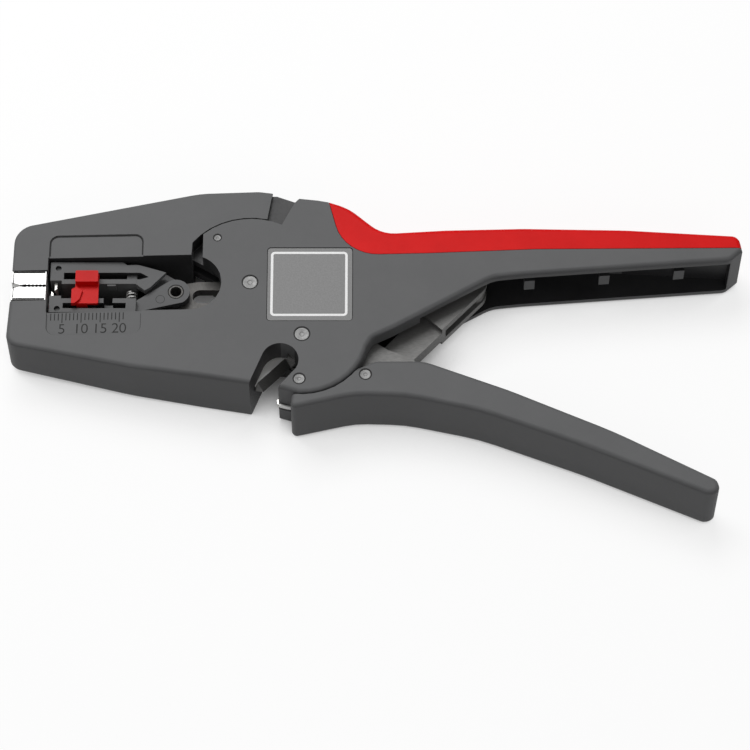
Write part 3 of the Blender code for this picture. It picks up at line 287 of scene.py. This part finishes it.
def addAreaLight(name, look):
    deselectAll()
    bpy.ops.object.light_add(type="AREA", location=look["place"])
    lamp = bpy.context.active_object
    lamp.name = name
    lamp.data.shape = "RECTANGLE"
    lamp.data.size, lamp.data.size_y = look["size"]
    lamp.data.energy = look["power"]
    lamp.rotation_euler = (-Vector(look["place"])).to_track_quat("-Z", "Y").to_euler()


def makeCamera():
    tilt = math.radians(photoCamera["elevation"])
    back = photoCamera["distance"]
    x, y, z = photoCamera["target"]
    deselectAll()
    bpy.ops.object.camera_add(location=(x, y - back * math.cos(tilt), z + back * math.sin(tilt)),
                              rotation=(math.radians(90.0) - tilt, 0.0, 0.0))
    camera = bpy.context.active_object
    camera.data.lens = photoCamera["lens"]
    camera.data.sensor_width = photoCamera["sensor"]
    camera.data.clip_start = photoCamera["clip"]
    bpy.context.scene.camera = camera


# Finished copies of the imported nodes, with their small edges broken

def bodyOf(node):
    for body, nodes in frame["record"]["behaviour"]["bodies"].items():
        if node in nodes:
            return body
    return "root"


def slotOf(node):
    for part in frame["record"]["subparts"]:
        if part["node"] == node:
            return part["material_slot"]
    return ""


insideShadeLook = {"reach": 30.0 * mm, "clampReach": 1.2 * mm, "off": 0.02 * mm}
fineLook = {"merge": 0.002 * mm, "flat": 0.6, "segments": 2, "sharp": 35, "smooth": 32, "weight": 80}


# Faces that look at another face of the moulding get a near-black copy of it: painted shade in recesses,
# channels and between parts
def paintInside(obj, material, *facing, reach=insideShadeLook["reach"]):
    bpy.context.view_layer.update()
    obj.data.materials.append(material)
    for face in obj.data.polygons:
        start = face.center + face.normal * insideShadeLook["off"]
        if any(other.ray_cast(start, face.normal, distance=reach)[0] for other in (obj, *facing)):
            face.material_index = 1


def finePiece(node, name, material, width, shape=None):
    source = frame["nodes"][node]
    copy = source.copy()
    copy.data = source.data.copy()
    copy.name = name
    copy.parent = None
    bpy.context.collection.objects.link(copy)
    copy.matrix_world = Matrix.Identity(4)
    activate(copy)
    bpy.ops.object.mode_set(mode="EDIT")
    bpy.ops.mesh.select_all(action="SELECT")
    bpy.ops.mesh.remove_doubles(threshold=fineLook["merge"])
    bpy.ops.mesh.dissolve_limited(angle_limit=math.radians(fineLook["flat"]))
    bpy.ops.object.mode_set(mode="OBJECT")
    if shape:
        shape(copy)
    applyModifier(copy, "BEVEL", width=width, segments=fineLook["segments"], limit_method="ANGLE",
                  angle_limit=math.radians(fineLook["sharp"]), use_clamp_overlap=True,
                  miter_outer="MITER_ARC")
    smoothSides(copy, fineLook["smooth"])
    applyModifier(copy, "WEIGHTED_NORMAL", keep_sharp=True, weight=fineLook["weight"])
    return finishPiece(copy, bodyOf(node), material, slotOf(node), node)


# Flat shapes from a list of corners, and what they add to or take from a piece

def addFlat(name, corners, height=0.0):
    deselectAll()
    bpy.ops.mesh.primitive_circle_add(vertices=len(corners), radius=mm, fill_type="NGON")
    flat = bpy.context.active_object
    flat.name = name
    for vertex, (x, y) in zip(flat.data.vertices, corners):
        place = fromPivot(x, y)
        vertex.co = (place[0], place[1], pivotPlace.z + height * mm)
    return flat


def addPlate(name, corners, low, high):
    plate = addFlat(name, corners, low)
    bpy.ops.object.mode_set(mode="EDIT")
    bpy.ops.mesh.select_all(action="SELECT")
    bpy.ops.mesh.extrude_region_move(TRANSFORM_OT_translate={"value": (0.0, 0.0, (high - low) * mm)})
    bpy.ops.mesh.select_all(action="SELECT")
    bpy.ops.mesh.normals_make_consistent(inside=False)
    bpy.ops.object.mode_set(mode="OBJECT")
    return plate


def carve(obj, operation, name, corners, low, high):
    tool = addPlate(name, corners, low, high)
    applyModifier(obj, "BOOLEAN", operation=operation, object=tool, solver="EXACT")
    bpy.data.objects.remove(tool)


upperArmLook = {
    "shoulder": [(-34.2, 8.6), (-34.2, 8.05), (-32.9, 7.1), (-29.8, 7.25), (-29.8, 8.6)],
    "head": [(-30.6, 1.45), (-28.1, -0.55), (-26.7, 0.3), (-22.5, 4.9), (-29.8, 7.2), (-30.6, 7.2)],
    "slotEnd": [(-33.6, 2.8), (-29.4, 2.8), (-27.1, 3.5), (-29.3, 4.8), (-33.6, 4.8)],
    "tab": [(-38.1, 0.9), (-35.8, 0.9), (-35.8, 1.6), (-38.1, 1.6)],
    "under": 4.6, "top": 5.95,
}


def shapeUpperArm(arm):
    look = upperArmLook
    carve(arm, "DIFFERENCE", "shoulderCut", look["shoulder"], -7.0, 7.0)
    carve(arm, "UNION", "armHead", look["head"], look["under"], look["top"])
    carve(arm, "DIFFERENCE", "slotEndCut", look["slotEnd"], look["under"] - 0.05, 7.0)
    carve(arm, "UNION", "armTab", look["tab"], 3.0, look["top"] - 0.2)


# Pin heads: a turned face with a groove and a small centre dimple

pinLook = {"edge": 0.14, "dish": 0.10, "land": 0.38, "dimple": 0.12, "depth": 0.06 * mm, "ring": 0.34,
           "gap": 0.02, "lift": 0.012 * mm, "sides": 64, "bevel": 0.04 * mm, "sharp": 25, "smooth": 28}


def selectTop(obj, height):
    bpy.ops.object.mode_set(mode="OBJECT")
    for face in obj.data.polygons:
        face.select = face.normal.z > 0.9 and face.center.z > height
    bpy.ops.object.mode_set(mode="EDIT")


def makePin(node, name, material, ground):
    low, high = (Vector(corner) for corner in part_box(node))
    radius = (high.x - low.x) / 2
    deselectAll()
    bpy.ops.mesh.primitive_cylinder_add(vertices=pinLook["sides"], radius=radius, depth=high.z - low.z,
                                        location=(low + high) / 2)
    pin = bpy.context.active_object
    pin.name = name
    applyPlace(pin)
    bpy.ops.object.mode_set(mode="EDIT")
    bpy.ops.mesh.select_mode(type="FACE")
    selectTop(pin, high.z - 0.1 * mm)
    bpy.ops.mesh.inset(thickness=pinLook["edge"] * radius, depth=0.0)
    bpy.ops.mesh.inset(thickness=pinLook["dish"] * radius, depth=-0.5 * pinLook["depth"])
    bpy.ops.mesh.inset(thickness=pinLook["land"] * radius, depth=0.0)
    bpy.ops.mesh.inset(thickness=pinLook["dimple"] * radius, depth=-2.0 * pinLook["depth"])
    bpy.ops.object.mode_set(mode="OBJECT")
    applyModifier(pin, "BEVEL", width=pinLook["bevel"], segments=2, limit_method="ANGLE",
                  angle_limit=math.radians(pinLook["sharp"]), use_clamp_overlap=True)
    smoothSides(pin, pinLook["smooth"])
    finishPiece(pin, bodyOf(node), material, slotOf(node), node)
    # A near-black ring laid around each pin head: painted shade of the gap round the pin
    centre = ((low.x + high.x) / 2 - pivotPlace.x) / mm, ((low.y + high.y) / 2 - pivotPlace.y) / mm
    inner = radius / mm + pinLook["gap"]
    outer = radius / mm + pinLook["ring"] * min(1.0, radius / mm)
    ring = addRing("shadeRimOf_" + node, *centre, inner, outer)
    drape(ring, ground, pinLook["lift"], level=True)
    finishPiece(ring, bodyOf(node), darkPrintAndShade, "moulding")


# Marks and painted shade lines: thin shapes laid on the surface below them

def fromPivot(x, y):
    return (pivotPlace.x + x * mm, pivotPlace.y + y * mm)


def drape(obj, ground, height, level=False):
    above, down = 50.0 * mm, Vector((0.0, 0.0, -1.0))
    for vertex in obj.data.vertices:
        point = ground.ray_cast(Vector((vertex.co.x, vertex.co.y, above)), down)[1]
        vertex.co.z = point.z + height
    if level:
        top = max(vertex.co.z for vertex in obj.data.vertices)
        for vertex in obj.data.vertices:
            vertex.co.z = top


def addStroke(name, x, y, width, length):
    deselectAll()
    place = fromPivot(x, y)
    bpy.ops.mesh.primitive_plane_add(size=1.0, location=(place[0], place[1], 0.0))
    stroke = bpy.context.active_object
    stroke.name = name
    stroke.scale = (width * mm, length * mm, 1.0)
    applyPlace(stroke)
    return stroke


def addRing(name, x, y, inner, outer, sides=64):
    deselectAll()
    place = fromPivot(x, y)
    bpy.ops.mesh.primitive_circle_add(vertices=sides, radius=inner * mm, location=(place[0], place[1], 0.0))
    ring = bpy.context.active_object
    ring.name = name
    applyPlace(ring)
    bpy.ops.object.mode_set(mode="EDIT")
    bpy.ops.mesh.select_all(action="SELECT")
    bpy.ops.mesh.extrude_edges_move()
    share = outer / inner
    bpy.ops.transform.resize(value=(share, share, 1.0), center_override=(place[0], place[1], 0.0))
    bpy.ops.object.mode_set(mode="OBJECT")
    return ring


def addNumber(text, x, y, look):
    deselectAll()
    place = fromPivot(x, y)
    bpy.ops.object.text_add(location=(place[0], place[1], 0.0))
    number = bpy.context.active_object
    number.data.body = text
    number.data.size = look["height"] * mm
    number.data.offset = look["thinning"] * mm
    number.data.space_character = look["spacing"]
    number.data.align_x = "CENTER"
    number.data.align_y = "CENTER"
    bpy.ops.object.convert(target="MESH")
    number = bpy.context.active_object
    applyPlace(number)
    return number


scaleLook = {"first": -52.53, "step": 1.01, "marks": 20, "top": -8.47, "short": -10.58, "long": -11.33,
             "width": 0.26, "height": 4.2, "thinning": -0.03, "spacing": 0.95, "numberLine": -13.3,
             "lift": 0.015 * mm, "firstReading": 2, "longEvery": 5}


def makeScale(ground):
    pieces = []
    for i in range(scaleLook["marks"]):
        reading = i + scaleLook["firstReading"]
        numbered = reading % scaleLook["longEvery"] == 0
        x = scaleLook["first"] + i * scaleLook["step"]
        top, bottom = scaleLook["top"], scaleLook["long" if numbered else "short"]
        middle = (top + bottom) / 2
        pieces.append(addStroke("mark%d" % reading, x, middle, scaleLook["width"], top - bottom))
        if numbered:
            pieces.append(addNumber(str(reading), x, scaleLook["numberLine"], scaleLook))
    scale = joinAll("scaleMarks", pieces)
    drape(scale, ground, scaleLook["lift"])
    finishPiece(scale, "frame", darkPrintAndShade, "moulding")


ringLook = {"place": (-24.0, -2.3), "radius": 1.1, "width": 0.12, "lift": 0.01 * mm}

# Near-black lines along each clamp jaw's outer edge and tip end: painted shade at the jaws' edges
jawShadeLineLook = {"middle": -58.75, "length": 8.5, "edge": 4.0, "end": -62.85, "endShare": 0.8, "width": 0.5,
               "lift": 0.01 * mm}


def makeJawLines():
    look = jawShadeLineLook
    for node, side in {"lower_clamp_jaw": -1, "upper_clamp_jaw": 1}.items():
        edge, width = look["edge"], look["width"]
        along = addStroke("alongLine", look["middle"], side * edge, look["length"], width)
        across = addStroke("acrossLine", look["end"], side * edge / 2, width / 2, edge * look["endShare"])
        line = joinAll("edgeShadeLinesOf_" + node, [along, across])
        drape(line, fine[node], look["lift"], level=True)
        finishPiece(line, bodyOf(node), darkPrintAndShade, "moulding")


panelShadowLineLook = {"left": -53.65, "right": -28.65, "top": 15.05, "bottom": 8.9, "corner": 2.35,
                 "width": 0.36, "scaleWidth": 0.18, "steps": 8, "lift": 0.012 * mm}


# A dark strip along three sides of a recessed panel: painted shadow of the panel's step
def makePanelLine(name, width, side, ground, body, material):
    look = panelShadowLineLook

    def path(inset):
        radius = look["corner"] - inset
        turns = [math.radians(90 * i / look["steps"]) for i in range(look["steps"] + 1)]
        x, y = look["left"] + look["corner"], look["top"] - look["corner"]
        left = [(x - radius * math.cos(a), y + radius * math.sin(a)) for a in turns]
        x = look["right"] - look["corner"]
        right = [(x + radius * math.sin(a), y + radius * math.cos(a)) for a in turns]
        whole = [(left[0][0], look["bottom"])] + left + right + [(right[-1][0], look["bottom"])]
        return [(px, side * py) for px, py in whole]

    line = addFlat(name, path(0.0) + path(width)[::-1])
    drape(line, ground, look["lift"])
    finishPiece(line, body, material, "moulding")


plateLook = {"left": 0.85, "right": 1.25, "top": 1.15, "bottom": 1.35, "line": 0.66, "corner": 1.1,
             "lift": 0.02 * mm}


def makePlateFrame(material):
    low, high = (Vector(corner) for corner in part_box("rating_plate"))
    left, right = low.x + plateLook["left"] * mm, high.x - plateLook["right"] * mm
    bottom, top = low.y + plateLook["bottom"] * mm, high.y - plateLook["top"] * mm
    deselectAll()
    bpy.ops.mesh.primitive_plane_add(size=1.0, location=((left + right) / 2, (bottom + top) / 2, high.z))
    line = bpy.context.active_object
    line.name = "plateFrameLine"
    line.scale = (right - left, top - bottom, 1.0)
    applyPlace(line)
    bpy.ops.object.mode_set(mode="EDIT")
    bpy.ops.mesh.select_all(action="SELECT")
    bpy.ops.mesh.bevel(offset=plateLook["corner"] * mm, segments=8, affect="VERTICES")
    bpy.ops.mesh.inset(thickness=plateLook["line"] * mm, depth=0.0)
    bpy.ops.mesh.delete(type="FACE")
    bpy.ops.object.mode_set(mode="OBJECT")
    for vertex in line.data.vertices:
        vertex.co.z = high.z + plateLook["lift"]
    finishPiece(line, "frame", material, "plate")


counterEdgeLook = {"centre": (13.9, -15.6), "inner": 16.9, "outer": 17.7, "start": -110.5, "end": -99.0,
                   "low": -0.6, "high": 0.6, "slotLow": -1.9, "slotShare": 0.985, "steps": 8,
                   "bevel": 0.25 * mm, "sharp": 40}


def makeCounterEdge():
    look = counterEdgeLook
    x, y = look["centre"]
    turn, steps = look["end"] - look["start"], look["steps"]
    angles = [math.radians(look["start"] + turn * i / steps) for i in range(steps + 1)]
    edge = [(x + look["outer"] * math.cos(a), y + look["outer"] * math.sin(a)) for a in angles]
    root = [(x + look["inner"] * math.cos(a), y + look["inner"] * math.sin(a)) for a in reversed(angles)]
    strip = addPlate("counterBladeEdge", edge + root, look["low"], look["high"])
    applyModifier(strip, "BEVEL", width=look["bevel"], segments=3, limit_method="ANGLE",
                  angle_limit=math.radians(look["sharp"]))
    smoothSides(strip, look["sharp"])
    finishPiece(strip, "frame", jawSteel, "steel")
    # A near-black plate in the slot behind the blade edge: painted shade in the gap
    share = look["slotShare"]
    slot = [(x + (px - x) * share, y + (py - y) * share) for px, py in edge]
    shade = addPlate("counterBladeSlotShade", slot + root, look["slotLow"], look["low"])
    finishPiece(shade, "frame", darkPrintAndShade, "moulding")


bpy.context.scene.view_settings.view_transform = "Standard"
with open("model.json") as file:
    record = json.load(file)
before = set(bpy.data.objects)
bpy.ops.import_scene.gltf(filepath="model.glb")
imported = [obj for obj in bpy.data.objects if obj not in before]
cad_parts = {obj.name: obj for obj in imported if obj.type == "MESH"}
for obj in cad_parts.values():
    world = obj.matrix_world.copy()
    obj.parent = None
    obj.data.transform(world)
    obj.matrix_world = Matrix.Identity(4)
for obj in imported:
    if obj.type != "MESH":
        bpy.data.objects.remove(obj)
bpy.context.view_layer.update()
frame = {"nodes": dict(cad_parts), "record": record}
pivotPlace = (Vector(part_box("jaw_pivot_pin")[0]) + Vector(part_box("jaw_pivot_pin")[1])) / 2
print("frame loaded")

makeStage()
makeWorld()
for name, look in lampLook.items():
    addAreaLight(name, look)
makeCamera()
print("stage, light and camera")

moulding = makeMoulding("fineMatteMoulding", mouldingLook)
mouldingShade = makeMoulding("paintedShadeMoulding", paintedShadeLook)
softRed = makeRed("softRedSkin", softRedLook)
slideRed = makeRed("redSlide", slideRedLook)
jawSteel = makeSteel("groundJawSteel", jawSteelLook)
bladeSteel = makeSteel("brushedBladeSteel", bladeSteelLook)
paintedLitBlade = makeSteel("bladeSteelPaintedLit", paintedLitBladeLook)
rodSteel = makeSteel("oiledRodSteel", rodSteelLook)
pinSteel = makeSteel("turnedPinSteel", pinSteelLook)
darkSteel = makeSteel("blackenedSteelAndBladeShade", darkSteelLook)
wireSteel = makeSteel("drawnWire", springLook)
plateGrey = makePrint("plateGrey", printLook["plate"], 0.45)
whitePrint = makePrint("whiteLine", printLook["white"])
# Near-black print for scale marks and numbers, also used for painted shade lines, rims and gaps
darkPrintAndShade = makePrint("darkMarkAndPaintedShade", printLook["dark"], 0.7)
print("materials")

finishes = {
    "main_body": moulding, "upper_jaw": moulding, "handle_shell": moulding, "lower_knife_arm": moulding,
    "upper_knife_arm": moulding, "grip_inlay": softRed, "length_stop": slideRed, "rating_plate": plateGrey,
    "lower_clamp_jaw": jawSteel, "upper_clamp_jaw": jawSteel, "lower_knife": bladeSteel,
    "upper_knife": bladeSteel, "cutter_blade": bladeSteel, "counter_blade": bladeSteel,
    "near_lever_plate": darkSteel, "far_lever_plate": darkSteel, "drive_link": darkSteel,
    "pull_rod": rodSteel, "arm_pin": rodSteel, "return_spring": wireSteel, "arm_spring": wireSteel,
}
for node, obj in frame["nodes"].items():
    paint(obj, finishes.get(node, pinSteel))

edgeWidths = {
    "main_body": 0.18, "upper_jaw": 0.18, "handle_shell": 0.18, "grip_inlay": 0.12, "lower_knife_arm": 0.15,
    "upper_knife_arm": 0.15, "length_stop": 0.15, "pull_rod": 0.1, "drive_link": 0.15,
    "near_lever_plate": 0.12, "far_lever_plate": 0.12, "rating_plate": 0.1, "lower_clamp_jaw": 0.06,
    "upper_clamp_jaw": 0.06,
}
shapes = {"upper_knife_arm": shapeUpperArm}
fine = {}
for node, width in edgeWidths.items():
    fine[node] = finePiece(node, "fine_" + node, finishes[node], width * mm, shape=shapes.get(node))
    print("fine", node, len(fine[node].data.polygons))

# Painted shade on the inner faces of the mouldings
paintInside(fine["main_body"], mouldingShade, fine["upper_jaw"])
paintInside(fine["upper_jaw"], mouldingShade, fine["main_body"])
for node in ("handle_shell", "lower_knife_arm", "upper_knife_arm"):
    paintInside(fine[node], mouldingShade)
clamps = [fine["lower_clamp_jaw"], fine["upper_clamp_jaw"]]
# Clamp faces that look at another part within clampReach turn near-black: painted shade between the parts
for clamp in clamps:
    paintInside(clamp, darkPrintAndShade, *clamps, fine["main_body"], fine["upper_jaw"],
                reach=insideShadeLook["clampReach"])
print("insides")

blade = finePiece("cutter_blade", "fine_cutter_blade", paintedLitBlade, 0.05 * mm)
blade.data.materials.append(darkSteel)
for face in blade.data.polygons:
    face.material_index = 0 if face.normal.z > 0.98 else 1  # painted light: near-white on the near face alone; the other faces get the dark steel as painted shade
pinGrounds = {"jaw_pivot_pin": "main_body", "handle_pivot_pin": "main_body",
              "counter_blade_pin": "main_body", "jaw_stop_pin": "main_body", "link_foot_pin": "handle_shell"}
for node, ground in pinGrounds.items():
    makePin(node, "turned_" + node, pinSteel, fine[ground])
print("pins")

makeScale(fine["main_body"])
ring = addRing("armMark", *ringLook["place"], ringLook["radius"], ringLook["radius"] + ringLook["width"])
drape(ring, fine["lower_knife_arm"], ringLook["lift"])
finishPiece(ring, "carriage", darkPrintAndShade, "moulding")
makeCounterEdge()
makeJawLines()
makePanelLine("sizePanelShadowLine", panelShadowLineLook["width"], 1, fine["upper_jaw"], "jaw", darkPrintAndShade)
makePanelLine("scalePanelShadowLine", panelShadowLineLook["scaleWidth"], -1, fine["main_body"], "frame", mouldingShade)
makePlateFrame(whitePrint)
print("marks")
